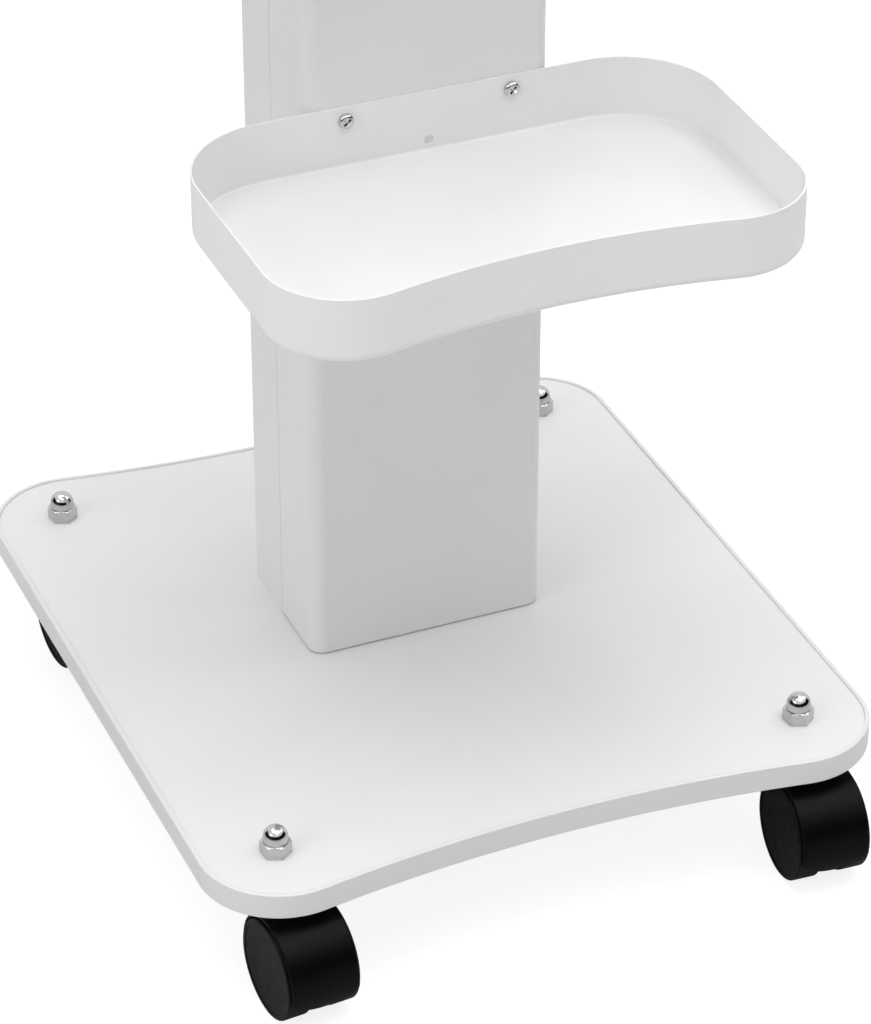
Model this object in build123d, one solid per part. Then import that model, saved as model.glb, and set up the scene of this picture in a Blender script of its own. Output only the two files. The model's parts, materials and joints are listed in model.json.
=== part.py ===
from build123d import *
import math
import os

# Medical supply cart: a board on four twin-wheel casters, a two-part sheet column,
# a supply tray hung on the column's front and a platform on its top.
# Millimetres, +Z up, the front towards -Y, the floor at z = 0.

# Base board and the edge trim round it
base_width = 415.0           # over the trim
base_depth = 431.6           # over the trim, at the middle of the hollow front and back edges
base_corner_r = 49.0
base_hollow_r = 900.0
board_thickness = 15.0
trim_wall = 2.7
trim_lip = 1.2               # height of the lip above the board
trim_edge_r = 1.4
trim_tongue_depth = 8.0
trim_tongue_thickness = 2.4
trim_fit = 0.05              # gap between the trim and the board
groove_fit = 0.1             # gap round the tongue in its groove

# Casters, measured from the board's underside down
stem_inset_x = 44.0          # from the base's side edges
stem_inset_y = 29.8          # from the middle of its front and back edges
caster_height = 70.0
caster_trail = 30.0
caster_width = 44.6          # over both wheels
wheel_r = 30.0
wheel_gap = 15.2             # between the inner faces of the two wheels
wheel_edge = 1.0
wheel_rim_wall = 4.0
wheel_disc_wall = 3.0
wheel_face_recess = 0.6      # depth of the disc face inside the raised rim line
wheel_rim_line = 2.2
wheel_hub_r = 8.0
wheel_hub_sink = 1.0         # how far the hub's blind bore goes into the disc
wheel_bore_fit = 0.05
hub_end_gap = 0.3
axle_r = 4.0
axle_chamfer = 0.6
hood_width = 36.6
hood_wall = 2.0
hood_running_gap = 1.0       # between the tread and the hood
hood_front_drop = 15.0       # degrees below the axle where the hood ends in front
hood_rear_drop = 20.0        # degrees below the axle where it ends at the back
hood_edge_r = 1.4
web_thickness = 4.0
axle_boss_r = 8.0
socket_side_gap = 0.5        # between the socket or boss and the wheels' inner faces
neck_r = 9.5
neck_flange_r = 10.5
neck_flange_h = 3.0
rib_thickness = 6.0
rib_sink = 0.5               # how far the rib's top edge stays below the hood's outer face
socket_floor = 3.5

# Caster stems: a thread through the board, a collar under it and a pin in the socket
stem_r = 5.0
stem_hole_fit = 0.25
stem_collar_r = 9.0
stem_collar_h = 3.0
stem_pin_length = 21.0
stem_pin_fit = 0.05
stem_thread_fit = 0.05
stem_chamfer = 0.6
stem_in_dome = 1.5           # how far the stem ends above the dome's centre
stem_top_gap = 1.0           # between the stem's end and the bottom of the nut's blind hole
collar_gap = 0.3             # between the collar and the housing that turns under it
ring_height = 1.4
ring_grip = 0.4              # how far the ring sits inside the pin's surface
ring_stand = 0.6             # how far it stands out of the pin
ring_gap = 0.25
ring_above_end = 3.0
ring_slot = 2.0

# How far each caster has swivelled, degrees, as they stand
caster_yaw = {"front_left": 5.0, "front_right": -3.0, "rear_left": 5.0, "rear_right": 3.0}

# Cap nuts on the stems
cap_nut_flats = 16.0
cap_nut_hex_h = 9.5
cap_nut_dome_r = 6.8
cap_nut_h = 18.0
cap_nut_turn = 7.0           # degrees
cap_nut_chamfer = 0.7

# Column: a rear channel and a front cover
column_width = 149.0
column_depth = 96.0
column_height = 740.0
column_y = 30.4              # middle of the column behind the middle of the base
column_sheet = 1.5
column_front_r = 9.5
column_rear_r = 2.0
rear_channel_depth = 44.5
seam_gap = 0.5
cover_foot_gap = 0.8
lap_inside_cover = 4.0
lap_inside_channel = 14.0

# Brackets inside the foot and the head of the column
bracket_sheet = 3.0
bracket_flange_h = 45.0
bracket_front_gap = 12.0     # between the cover's front and the bracket
bracket_bend_r = 4.5
bolt_span_x = 100.0
bolt_span_y = 50.0
bracket_screw_span = 90.0
bracket_screw_height = 25.0

# Plate under the board and the bolts of the column's foot
backing_width = 136.0
backing_depth = 84.0
backing_thickness = 4.0
backing_corner_r = 8.0
foot_bolt_r = 4.0
foot_bolt_flats = 13.0
foot_bolt_head_h = 5.3
foot_bolt_beyond = 2.0
foot_nut_h = 6.5
foot_washer_r = 8.0
foot_washer_h = 1.6
bolt_hole_fit = 0.4
thread_fit = 0.03

# Small pan-head screws of the column
small_screw_r = 2.0
small_head_r = 4.0
small_head_h = 2.6
small_screw_length = 9.0

# Supply tray on the column's front
tray_width = 309.6
tray_depth = 189.4           # at the middle of the hollow front edge
tray_height = 38.2
tray_sheet = 1.2
tray_front_corner_r = 46.0
tray_back_corner_r = 57.0
tray_hollow_r = 465.0
tray_bend_r = 5.0
tray_top_height = 364.6      # above the board
tray_shift_x = -3.2          # the tray hangs a little left of the column's middle
tray_screw_span = 100.0
tray_screw_drop = 8.3        # below the tray's top edge
spare_hole_drop = 30.5
spare_hole_r = 2.7
screw_r = 2.5
screw_head_r = 4.5
screw_head_h = 3.2
screw_length = 10.0
screw_hole_fit = 0.25
drill_reach = 9.0            # how far a drilled hole is cut to each side of the face that it starts from
tray_nut_flats = 8.0
tray_nut_h = 5.0

# Platform on the column's top
platform_width = 400.0
platform_depth = 300.0
platform_corner_r = 45.0
platform_hollow_r = 760.0
platform_rim_h = 22.0
platform_sheet = 1.5
platform_bend_r = 3.5
platform_y = 15.0
platform_nut_flats = 8.0
platform_nut_h = 4.0
stud_head_r = 3.9            # flush head of the pressed-in studs

# Places that follow from the sizes above
board_bottom = caster_height
board_top = board_bottom + board_thickness
column_front = column_y - column_depth / 2
column_back = column_y + column_depth / 2
column_top = board_top + column_height
seam_y = column_back - rear_channel_depth
tray_top = board_top + tray_top_height
axle_z = wheel_r - caster_height
hood_inner_r = wheel_r + hood_running_gap
hood_outer_r = hood_inner_r + hood_wall
socket_r = wheel_gap / 2 - socket_side_gap
wheel_inner_x = wheel_gap / 2
wheel_outer_x = caster_width / 2
hub_floor_x = wheel_outer_x - wheel_face_recess - wheel_disc_wall + wheel_hub_sink
axle_length = 2 * (hub_floor_x - hub_end_gap)
stem_spacing_x = base_width - 2 * stem_inset_x
stem_spacing_y = base_depth - 2 * stem_inset_y
stem_places = {
    "front_left": (-stem_spacing_x / 2, -stem_spacing_y / 2),
    "front_right": (stem_spacing_x / 2, -stem_spacing_y / 2),
    "rear_left": (-stem_spacing_x / 2, stem_spacing_y / 2),
    "rear_right": (stem_spacing_x / 2, stem_spacing_y / 2),
}
bolt_places = [(sx * bolt_span_x / 2, column_y + sy * bolt_span_y / 2) for sx in (-1, 1) for sy in (-1, 1)]


def hollow_corner(width, depth, corner_r, hollow_r):
    """Centre of a round corner that runs smoothly into an edge curving inwards."""
    x = width / 2 - corner_r
    y = depth / 2 + hollow_r - math.sqrt((hollow_r + corner_r) ** 2 - x ** 2)
    return x, y


def base_front_reach():
    """How far the base and its casters reach in front of the middle of the board."""
    reach = base_back_reach()
    for name, (x, y) in stem_places.items():
        turn = math.radians(caster_yaw[name])
        forward = (caster_trail + hood_outer_r - hood_edge_r) * math.cos(turn)
        sideways = (hood_width / 2 - hood_edge_r) * abs(math.sin(turn))
        reach = max(reach, forward + sideways + hood_edge_r - y)
    return reach


def base_back_reach():
    """How far the corners of the base reach behind the middle of the board."""
    return hollow_corner(base_width, base_depth, base_corner_r, base_hollow_r)[1] + base_corner_r


# The origin is under the middle of the whole cart, so the board stands a little behind it.
cart_shift_y = (base_front_reach() - base_back_reach()) / 2


def arc_about(centre, radius, start, end):
    """Arc round a centre between two angles in degrees."""
    points = [(centre[0] + radius * math.cos(math.radians(a)), centre[1] + radius * math.sin(math.radians(a)))
              for a in (start, (start + end) / 2, end)]
    return ThreePointArc(*points)


def hollow_face(width, depth, corner_r, hollow_r, inset=0.0, back_corner_r=None):
    """Plate outline with round corners and a front that curves inwards.

    The back is straight between corners of back_corner_r, or curves inwards like the front without it.
    """
    cx, cy = hollow_corner(width, depth, corner_r, hollow_r)
    half, mid, r, hollow = width / 2 - inset, depth / 2 - inset, corner_r - inset, hollow_r + inset
    tilt = math.degrees(math.asin(cx / (hollow_r + corner_r)))
    bx, by, back_r, back_end = cx, cy, r, 90 + tilt
    if back_corner_r:
        bx, by, back_r, back_end = width / 2 - back_corner_r, depth / 2 - back_corner_r, back_corner_r - inset, 90
    edges = [
        arc_about((0, -mid - hollow), hollow, 90 + tilt, 90 - tilt),
        arc_about((cx, -cy), r, 270 - tilt, 360),
        Line((half, -cy), (half, by)),
        arc_about((bx, by), back_r, 0, back_end),
        arc_about((-bx, by), back_r, 180 - back_end, 180),
        Line((-half, by), (-half, -cy)),
        arc_about((-cx, -cy), r, 180, 270 + tilt),
    ]
    if back_corner_r:
        edges.append(Line((bx, mid), (-bx, mid)))
    else:
        edges.append(arc_about((0, mid + hollow), hollow, 270 - tilt, 270 + tilt))
    return make_face(edges)


def pressed_tray(width, depth, corner_r, hollow_r, height, sheet, bend_r, back_corner_r=None):
    """Sheet tray standing on z = 0, with a bend along its foot."""
    outer = extrude(hollow_face(width, depth, corner_r, hollow_r, 0, back_corner_r), height)
    outer = fillet(outer.faces().sort_by(Axis.Z)[0].edges(), bend_r)
    inner = extrude(hollow_face(width, depth, corner_r, hollow_r, sheet, back_corner_r), height)
    inner = fillet(inner.faces().sort_by(Axis.Z)[0].edges(), bend_r - sheet)
    return outer - Pos(0, 0, sheet) * inner


def rod(radius, low, high):
    """Upright round bar between two heights."""
    return Pos(0, 0, low) * Cylinder(radius, high - low, align=(Align.CENTER, Align.CENTER, Align.MIN))


def drilled(radius):
    """Bar from front to back through the origin, to cut a hole in an upright sheet."""
    return Rot(X=90) * rod(radius, -drill_reach, drill_reach)


def hex_bar(flats, low, high):
    """Upright hexagon between two heights, with flats that face +X and -X."""
    return Pos(0, 0, low) * extrude(RegularPolygon(flats / math.sqrt(3), 6, rotation=30), high - low)


def hex_nut(flats, height, bore_r):
    """Hexagon nut standing on z = 0."""
    return hex_bar(flats, 0, height) - rod(bore_r, -1, height + 1)


def pan_screw(shank_r, length, head_r, head_h, turn=20.0):
    """Cross-recess pan-head screw with its head above z = 0."""
    head = fillet(rod(head_r, 0, head_h).faces().sort_by(Axis.Z)[-1].edges(), 0.55 * head_h)
    slot_length, slot_width, slot_depth = 1.15 * head_r, 0.26 * head_r, 0.5 * head_h
    slot = Box(slot_length, slot_width, 2 * slot_depth)
    recess = Pos(0, 0, head_h) * Rot(Z=turn) * (slot + Rot(Z=90) * slot)
    return head - recess + rod(shank_r, -length, 0)


def base_board():
    inset = trim_wall + trim_fit
    board = Pos(0, 0, board_bottom) * extrude(
        hollow_face(base_width, base_depth, base_corner_r, base_hollow_r, inset), board_thickness)
    groove = tongue_ring(trim_fit, trim_tongue_depth + groove_fit, trim_tongue_thickness + 2 * groove_fit)
    board -= groove
    for x, y in stem_places.values():
        board -= Pos(x, y, 0) * rod(stem_r + stem_hole_fit, board_bottom - 1, board_top + 1)
    for x, y in bolt_places:
        board -= Pos(x, y, 0) * rod(foot_bolt_r + bolt_hole_fit, board_bottom - 1, board_top + 1)
    return board


def tongue_ring(start, depth, thickness):
    """Ring that runs inside the trim at the middle of the board's edge."""
    outline = (base_width, base_depth, base_corner_r, base_hollow_r)
    ring = hollow_face(*outline, trim_wall + start) - hollow_face(*outline, trim_wall + depth)
    return Pos(0, 0, board_bottom + (board_thickness - thickness) / 2) * extrude(ring, thickness)


def base_edge_trim():
    outline = (base_width, base_depth, base_corner_r, base_hollow_r)
    band = extrude(hollow_face(*outline), board_thickness + trim_lip)
    band = fillet(band.faces().filter_by(Axis.Z).edges(), trim_edge_r)
    band -= extrude(hollow_face(*outline, trim_wall), board_thickness + trim_lip)
    return Pos(0, 0, board_bottom) * band + tongue_ring(0, trim_tongue_depth, trim_tongue_thickness)


def cap_nut():
    """Domed nut on the stem's thread, standing on z = 0."""
    corner_r = cap_nut_flats / math.sqrt(3)
    hexagon = Rot(Z=cap_nut_turn) * hex_bar(cap_nut_flats, 0, cap_nut_hex_h)
    cone = Cone(corner_r + cap_nut_hex_h - cap_nut_chamfer, corner_r - cap_nut_chamfer, cap_nut_hex_h,
                align=(Align.CENTER, Align.CENTER, Align.MIN))
    dome_z = cap_nut_h - cap_nut_dome_r
    dome = rod(cap_nut_dome_r, 0, dome_z) + Pos(0, 0, dome_z) * Sphere(cap_nut_dome_r)
    dome &= rod(cap_nut_dome_r + 1, 0, cap_nut_h + 1)
    return (hexagon & cone) + dome - rod(stem_r + stem_thread_fit, -1, stem_end() + stem_top_gap)


def stem_end():
    """Height of the stem's upper end above the board."""
    return cap_nut_h - cap_nut_dome_r + stem_in_dome


def caster_stem():
    """Threaded stem in the caster's frame: its axis at the origin, z = 0 at the board's underside."""
    pin_end = -stem_collar_h - stem_pin_length
    stem = rod(stem_r, pin_end, board_thickness + stem_end())
    stem = chamfer(stem.edges().filter_by(GeomType.CIRCLE), stem_chamfer)
    stem += rod(stem_collar_r, -stem_collar_h, 0)
    low = pin_end + ring_above_end - ring_gap
    groove = rod(stem_r + 1, low, low + ring_height + 2 * ring_gap)
    return stem - (groove - rod(stem_r - ring_grip - ring_gap, low, low + ring_height + 2 * ring_gap))


def stem_ring():
    """Split snap ring in the pin's groove, which holds the caster on its stem."""
    low = ring_above_end - stem_collar_h - stem_pin_length
    ring = rod(stem_r + ring_stand, low, low + ring_height) - rod(stem_r - ring_grip, low - 1, low + ring_height + 1)
    return ring - Pos(0, stem_r, low) * Box(ring_slot, 2 * stem_r, 4 * ring_height)


def swept_sector(radius, low_radius=0.0):
    """Side view of the hood: a disc or ring that is open below."""
    front, rear = math.radians(180 + hood_front_drop), math.radians(-hood_rear_drop)
    far = 3 * radius
    wedge = make_face(Polyline((0, 0), (far * math.cos(front), far * math.sin(front)), (-far, -far), (far, -far),
                               (far * math.cos(rear), far * math.sin(rear)), close=True))
    face = Circle(radius) - Circle(low_radius) if low_radius else Circle(radius)
    return face - wedge


def across(face, width):
    """Extrudes a side view both ways along the axle, at the axle's place."""
    return Pos(0, -caster_trail, axle_z) * extrude(Plane.YZ * face, width / 2, both=True)


def caster_housing():
    """Hooded housing: hood shell, middle web, axle boss, neck with the stem's socket, and a rib."""
    shell = across(swept_sector(hood_outer_r), hood_width)
    rims = shell.edges().filter_by(GeomType.CIRCLE).group_by(SortBy.RADIUS)[-1]
    shell = fillet(rims, hood_edge_r) - across(Circle(hood_inner_r), hood_width + 2)
    web = across(swept_sector(hood_inner_r + hood_wall / 2), web_thickness)
    boss = across(Circle(axle_boss_r), 2 * socket_r)
    neck_top = -stem_collar_h - collar_gap
    socket_end = -stem_collar_h - stem_pin_length - ring_gap
    neck = rod(neck_flange_r, neck_top - neck_flange_h, neck_top) + rod(neck_r, socket_end, neck_top)
    rib_top = neck_top - neck_flange_h
    hood_top = axle_z + hood_outer_r - rib_sink
    rib = Plane.YZ * make_face(Polyline((0, rib_top), (-neck_r, rib_top), (-caster_trail, hood_top),
                                        (-caster_trail, axle_z + hood_inner_r), (0, socket_end), close=True))
    housing = shell + web + boss + neck + extrude(rib, rib_thickness / 2, both=True)
    wheel_space = across(Circle(hood_inner_r), caster_width) - across(Circle(hood_inner_r + 1), 2 * socket_r)
    housing -= wheel_space
    housing += rod(socket_r, socket_end - socket_floor, rib_top)
    housing -= rod(stem_r + stem_pin_fit, socket_end, 1)
    ring_low = ring_above_end - stem_collar_h - stem_pin_length - ring_gap
    housing -= rod(stem_r + ring_stand + ring_gap, ring_low, ring_low + ring_height + 2 * ring_gap)
    return housing - across(Circle(axle_r), caster_width)


def caster_axle():
    axle = Cylinder(axle_r, axle_length)
    axle = chamfer(axle.edges().filter_by(GeomType.CIRCLE), axle_chamfer)
    return Pos(0, -caster_trail, axle_z) * Rot(Y=90) * axle


def caster_wheel(side):
    """One wheel of a twin caster, on the +X or -X side: a dished disc with a hub, a rim and a raised line."""
    rim_in = wheel_r - wheel_rim_wall
    back = wheel_outer_x - wheel_face_recess - wheel_disc_wall
    line_r = wheel_r - wheel_edge - wheel_rim_line
    bore = axle_r + wheel_bore_fit
    profile = Polyline(
        (wheel_inner_x, bore), (wheel_inner_x, wheel_hub_r), (back, wheel_hub_r + 1), (back, rim_in - 1),
        (wheel_inner_x, rim_in), (wheel_inner_x, wheel_r - wheel_edge), (wheel_inner_x + wheel_edge, wheel_r),
        (wheel_outer_x - wheel_edge, wheel_r), (wheel_outer_x, wheel_r - wheel_edge), (wheel_outer_x, line_r),
        (wheel_outer_x - wheel_face_recess, line_r - wheel_face_recess), (wheel_outer_x - wheel_face_recess / 2, 0),
        (hub_floor_x, 0), (hub_floor_x, bore), close=True)
    wheel = Pos(0, -caster_trail, axle_z) * revolve(make_face(profile), Axis.X)
    return wheel if side > 0 else mirror(wheel, Plane.YZ)


def column_rear_channel():
    depth, inner = rear_channel_depth, column_width - 2 * column_sheet
    low, high = board_top, column_top
    plan = Pos(0, column_back - depth / 2) * Rectangle(column_width, depth)
    plan = fillet(plan.vertices().group_by(Axis.Y)[-1], column_rear_r)
    hollow = Pos(0, column_back - column_sheet - depth / 2) * Rectangle(inner, depth)
    hollow = fillet(hollow.vertices().group_by(Axis.Y)[-1], column_rear_r - column_sheet)
    channel = Pos(0, 0, low) * extrude(plan - hollow, high - low)
    for height in bracket_screw_heights():
        for x in (-bracket_screw_span / 2, bracket_screw_span / 2):
            channel -= Pos(x, column_back, height) * drilled(small_screw_r + screw_hole_fit)
    return channel - cover_screw_hole(screw_hole_fit)


def bracket_screw_heights():
    """Heights of the screws that hold the rear channel to the foot and head brackets."""
    return board_top + bracket_screw_height, column_top - bracket_screw_height


def column_front_cover():
    low, high = board_top + cover_foot_gap, column_top
    depth = seam_y - seam_gap - column_front
    inner = column_width - 2 * column_sheet
    plan = Pos(0, column_front + depth / 2) * Rectangle(column_width, depth)
    plan = fillet(plan.vertices().group_by(Axis.Y)[0], column_front_r)
    hollow = Pos(0, column_front + column_sheet + depth / 2) * Rectangle(inner, depth)
    hollow = fillet(hollow.vertices().group_by(Axis.Y)[0], column_front_r - column_sheet)
    plan -= hollow
    lap = Rectangle(column_sheet, lap_inside_cover + seam_gap + lap_inside_channel,
                    align=(Align.CENTER, Align.MIN))
    for side in (-1, 1):
        plan += Pos(side * (inner - column_sheet) / 2, seam_y - seam_gap - lap_inside_cover) * lap
    cover = Pos(0, 0, low) * extrude(plan, high - low)
    for x, z in tray_hole_places()[:2]:
        cover -= Pos(x, column_front, z) * drilled(screw_r + screw_hole_fit)
    return cover - cover_screw_hole(screw_hole_fit)


def cover_screw_place():
    """The y and z of the two side screws that hold the channel and the cover's laps to the head bracket."""
    return seam_y + lap_inside_channel / 2, bracket_screw_heights()[1]


def cover_screw_hole(fit):
    """Bar right across the column at the side screws."""
    y, z = cover_screw_place()
    return Pos(0, y, z) * Rot(Y=90) * rod(small_screw_r + fit, -column_width, column_width)


def tray_hole_places():
    """The two screw holes and the empty hole of the tray's back wall, as x and z."""
    screw_z = tray_top - tray_screw_drop
    return [(-tray_screw_span / 2, screw_z), (tray_screw_span / 2, screw_z), (0, tray_top - spare_hole_drop)]


def trough(half, front, rear, floor, height, bend_r):
    """Solid with upright sides, round along its foot, its rear foot and its two rear corners."""
    block = Pos(0, front, floor) * Box(2 * half, rear - front, height, align=(Align.CENTER, Align.MIN, Align.MIN))
    foot = block.faces().sort_by(Axis.Z)[0].edges()
    bends = foot.filter_by(Axis.Y) + foot.filter_by(Axis.X).sort_by(Axis.Y)[-1:]
    return fillet(bends + block.edges().filter_by(Axis.Z).group_by(Axis.Y)[-1], bend_r)


def bracket():
    """Pressed bracket for the column's foot: a floor on z = 0 with flanges up at the sides and the back."""
    half = column_width / 2 - 2 * column_sheet
    rear = column_back - column_sheet
    front = column_front + column_sheet + bracket_front_gap
    room = trough(half - bracket_sheet, front - 1, rear - bracket_sheet, bracket_sheet, bracket_flange_h,
                  bracket_bend_r - bracket_sheet)
    solid = trough(half, front, rear, 0, bracket_flange_h, bracket_bend_r) - room
    for x in (-bracket_screw_span / 2, bracket_screw_span / 2):
        solid -= Pos(x, column_back, bracket_screw_height) * drilled(small_screw_r + thread_fit)
    return solid


def foot_bracket():
    solid = Pos(0, 0, board_top) * bracket()
    for x, y in bolt_places:
        solid -= Pos(x, y, board_top) * rod(foot_bolt_r + bolt_hole_fit, -1, bracket_sheet + 1)
    return solid


def head_bracket():
    solid = Pos(0, 0, column_top) * mirror(bracket(), Plane.XY)
    for x, y in bolt_places:
        solid -= Pos(x, y, column_top) * rod(screw_r + screw_hole_fit, -bracket_sheet - 1, 1)
    return solid - cover_screw_hole(thread_fit)


def foot_backing_plate():
    plan = RectangleRounded(backing_width, backing_depth, backing_corner_r)
    low = board_bottom - backing_thickness
    plate = Pos(0, column_y, low) * extrude(plan, backing_thickness)
    for x, y in bolt_places:
        plate -= Pos(x, y, 0) * rod(foot_bolt_r + bolt_hole_fit, low - 1, board_bottom + 1)
    return plate


def foot_bolt():
    """Hexagon bolt from below, in the board's heights."""
    seat = board_bottom - backing_thickness - foot_washer_h
    end = board_top + bracket_sheet + foot_nut_h + foot_bolt_beyond
    return hex_bar(foot_bolt_flats, seat - foot_bolt_head_h, seat) + rod(foot_bolt_r, seat, end)


def foot_washer():
    low = board_bottom - backing_thickness - foot_washer_h
    return rod(foot_washer_r, low, low + foot_washer_h) - rod(foot_bolt_r + bolt_hole_fit, low - 1, board_bottom)


def foot_nut():
    return Pos(0, 0, board_top + bracket_sheet) * hex_nut(foot_bolt_flats, foot_nut_h, foot_bolt_r + thread_fit)


def supply_tray_floor():
    """Flat floor plate of the tray, welded in where the rim's foot bend ends."""
    plate = extrude(hollow_face(tray_width, tray_depth, tray_front_corner_r, tray_hollow_r, tray_bend_r,
                                tray_back_corner_r), tray_sheet)
    return Pos(tray_shift_x, column_front - tray_depth / 2, tray_top - tray_height) * plate


def supply_tray_rim():
    """Rim of the tray with its foot bend, holes in its back for the screws and one spare."""
    tray = pressed_tray(tray_width, tray_depth, tray_front_corner_r, tray_hollow_r, tray_height,
                        tray_sheet, tray_bend_r, tray_back_corner_r)
    tray = Pos(tray_shift_x, column_front - tray_depth / 2, tray_top - tray_height) * tray
    holes = list(zip(tray_hole_places(), (screw_r + screw_hole_fit, screw_r + screw_hole_fit, spare_hole_r)))
    for (x, z), radius in holes:
        tray -= Pos(x, column_front, z) * drilled(radius)
    return tray - supply_tray_floor()


def top_platform():
    platform = pressed_tray(platform_width, platform_depth, platform_corner_r, platform_hollow_r,
                            platform_rim_h, platform_sheet, platform_bend_r)
    platform = Pos(0, platform_y, column_top) * platform
    for x, y in bolt_places:
        platform -= Pos(x, y, column_top) * rod(stud_head_r + thread_fit, -1, platform_sheet + 1)
    return platform


def facing_front(solid, x, y, z):
    """Turns an upright fastener so that its head faces the front, and places it."""
    return Pos(x, y, z) * Rot(X=90) * solid


def tray_screws():
    face = column_front - tray_sheet
    return [facing_front(pan_screw(screw_r, screw_length, screw_head_r, screw_head_h, turn), x, face, z)
            for (x, z), turn in zip(tray_hole_places()[:2], (28.0, 62.0))]


def tray_nuts():
    inner = column_front + column_sheet
    nut = Pos(0, 0, -tray_nut_h) * hex_nut(tray_nut_flats, tray_nut_h, screw_r + thread_fit)
    return [facing_front(nut, x, inner, z) for x, z in tray_hole_places()[:2]]


def column_screws():
    screw = Rot(X=-90) * pan_screw(small_screw_r, small_screw_length, small_head_r, small_head_h)
    return [Pos(x, column_back, z) * screw for z in bracket_screw_heights()
            for x in (-bracket_screw_span / 2, bracket_screw_span / 2)]


def cover_screws():
    screw = pan_screw(small_screw_r, small_screw_length, small_head_r, small_head_h)
    y, z = cover_screw_place()
    return [Pos(side * column_width / 2, y, z) * Rot(Y=side * 90) * screw for side in (-1, 1)]


def platform_studs():
    """Studs pressed into the platform's floor, their heads flush with it, their shanks down through the bracket."""
    stud = rod(stud_head_r, 0, platform_sheet) + rod(screw_r, -screw_length, 0)
    return [Pos(x, y, column_top) * stud for x, y in bolt_places]


def platform_nuts():
    nut = Pos(0, 0, column_top - bracket_sheet - platform_nut_h) * hex_nut(
        platform_nut_flats, platform_nut_h, screw_r + thread_fit)
    return [Pos(x, y, 0) * nut for x, y in bolt_places]


def at_bolts(solid):
    """Copies of a fastener at the four bolts of the column's foot."""
    return [Pos(x, y, 0) * solid for x, y in bolt_places]


def at_stems(solid, z):
    """Copies of a fastener on the four stems, at a height."""
    return [Pos(x, y, z) * solid for x, y in stem_places.values()]


def casters():
    """Every piece of the four casters, in its place, by node name."""
    made = {"housing": caster_housing(), "axle": caster_axle(), "stem": caster_stem()}
    wheels = {-1: caster_wheel(-1), 1: caster_wheel(1)}
    nodes = {}
    for name, (x, y) in stem_places.items():
        place = Pos(x, y, board_bottom) * Rot(Z=caster_yaw[name])
        for piece, solid in made.items():
            nodes[f"{name}_caster_{piece}"] = place * solid
        for side, wheel in wheels.items():
            which = "outboard" if side * x > 0 else "inboard"
            nodes[f"{name}_{which}_wheel"] = place * wheel
    return nodes


def cart():
    nodes = {
        "base_board": base_board(),
        "base_edge_trim": base_edge_trim(),
        "cap_nuts": at_stems(cap_nut(), board_top),
        "stem_rings": at_stems(stem_ring(), board_bottom),
        "column_rear_channel": column_rear_channel(),
        "column_front_cover": column_front_cover(),
        "foot_bracket": foot_bracket(),
        "head_bracket": head_bracket(),
        "foot_backing_plate": foot_backing_plate(),
        "foot_bolts": at_bolts(foot_bolt()),
        "foot_washers": at_bolts(foot_washer()),
        "foot_nuts": at_bolts(foot_nut()),
        "column_screws": column_screws(),
        "cover_screws": cover_screws(),
        "supply_tray_floor": supply_tray_floor(),
        "supply_tray_rim": supply_tray_rim(),
        "tray_screws": tray_screws(),
        "tray_nuts": tray_nuts(),
        "top_platform": top_platform(),
        "platform_studs": platform_studs(),
        "platform_nuts": platform_nuts(),
    }
    nodes.update(casters())
    return nodes


os.makedirs("parts", exist_ok=True)
for node, shape in cart().items():
    pieces = shape if isinstance(shape, list) else [shape]
    solids = [solid for piece in pieces for solid in (Pos(0, cart_shift_y, 0) * piece).solids()]
    export_step(Compound(solids) if len(solids) > 1 else solids[0], f"parts/{node}.step")
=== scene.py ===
import json
import logging
import math
from dataclasses import dataclass
from enum import Enum
from typing import Any, Callable, Iterable

import bmesh
import bpy
from mathutils import Matrix, Vector


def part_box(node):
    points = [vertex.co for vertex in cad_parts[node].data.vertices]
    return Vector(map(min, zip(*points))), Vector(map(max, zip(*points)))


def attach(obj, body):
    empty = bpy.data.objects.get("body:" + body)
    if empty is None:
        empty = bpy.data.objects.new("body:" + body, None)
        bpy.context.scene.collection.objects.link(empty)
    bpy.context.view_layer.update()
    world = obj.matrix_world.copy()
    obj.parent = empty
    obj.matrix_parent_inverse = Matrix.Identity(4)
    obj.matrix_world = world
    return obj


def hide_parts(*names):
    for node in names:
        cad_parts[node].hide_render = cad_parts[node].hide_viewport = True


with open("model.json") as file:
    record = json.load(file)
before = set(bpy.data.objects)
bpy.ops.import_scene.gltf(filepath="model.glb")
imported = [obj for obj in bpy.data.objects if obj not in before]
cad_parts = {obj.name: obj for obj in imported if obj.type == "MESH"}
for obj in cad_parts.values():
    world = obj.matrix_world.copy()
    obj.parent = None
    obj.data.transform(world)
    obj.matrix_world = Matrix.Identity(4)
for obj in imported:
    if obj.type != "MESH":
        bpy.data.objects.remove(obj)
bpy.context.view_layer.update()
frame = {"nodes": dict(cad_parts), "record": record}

# Looks of a medical supply cart: powder-coated sheet metal, a faced board with plastic edging,
# bright plated fasteners and black moulded twin-wheel casters. Metres, +Z up, front towards -Y.

LOG = logging.getLogger("supply_cart")
MM = 0.001
ROOT = "cart"
CORNERS = ("front_left", "front_right", "rear_left", "rear_right")
SIGNS = ((-1, -1), (1, -1), (1, 1), (-1, 1))
WHITE = (1.0, 1.0, 1.0, 1.0)

# How the finishes vary over a surface
CLOUD_EDGES = (0.35, 0.65)
SMEAR_EDGES = (0.3, 0.7)
SMEARS_PER_CLOUD = 2.7
POLISH_STRETCH = (1.0, 1.0, 14.0)
COAT_ROUGHNESS = 0.08

# Places on the tray's back wall
SPARE_HOLE_DROP = 30.5 * MM
SPARE_HOLE_R = 2.8 * MM
TRAY_SCREW_SPAN = 100 * MM
TRAY_SCREW_TURNS = (40.0, 48.0)

Point = tuple[float, float]
Colour = tuple[float, float, float]
Thing = bpy.types.Object
Socket = bpy.types.NodeSocket
Tree = bpy.types.NodeTree


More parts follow.
